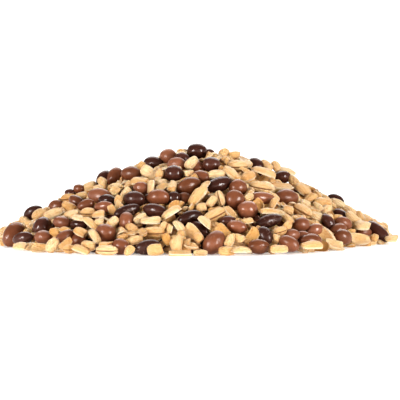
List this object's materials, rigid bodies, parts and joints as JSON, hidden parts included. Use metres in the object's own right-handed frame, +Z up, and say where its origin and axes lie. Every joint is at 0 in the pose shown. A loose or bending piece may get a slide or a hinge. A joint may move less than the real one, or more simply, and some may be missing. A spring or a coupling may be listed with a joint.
{
  "type": "heap of trail mix",
  "caption": "Conical heap of split roasted peanuts with milk and dark chocolate-coated pieces, flat underneath so that it rests on a table or tray.",
  "frame": {"origin": "middle of the heap's foot, on the surface it rests on", "axes": "+Z up; the side that the picture shows faces -Y"},
  "size_m": [0.2838, 0.2896, 0.0716],
  "materials": {
    "peanut": "roasted blanched peanut, satin",
    "milk_chocolate": "milk chocolate coating with a soft glaze",
    "dark_chocolate": "dark chocolate coating with a soft glaze",
    "heap": "shaded mix between the pieces"
  },
  "bodies": {
    "root": {"heap": "heap"}
  },
  "joints": []
}
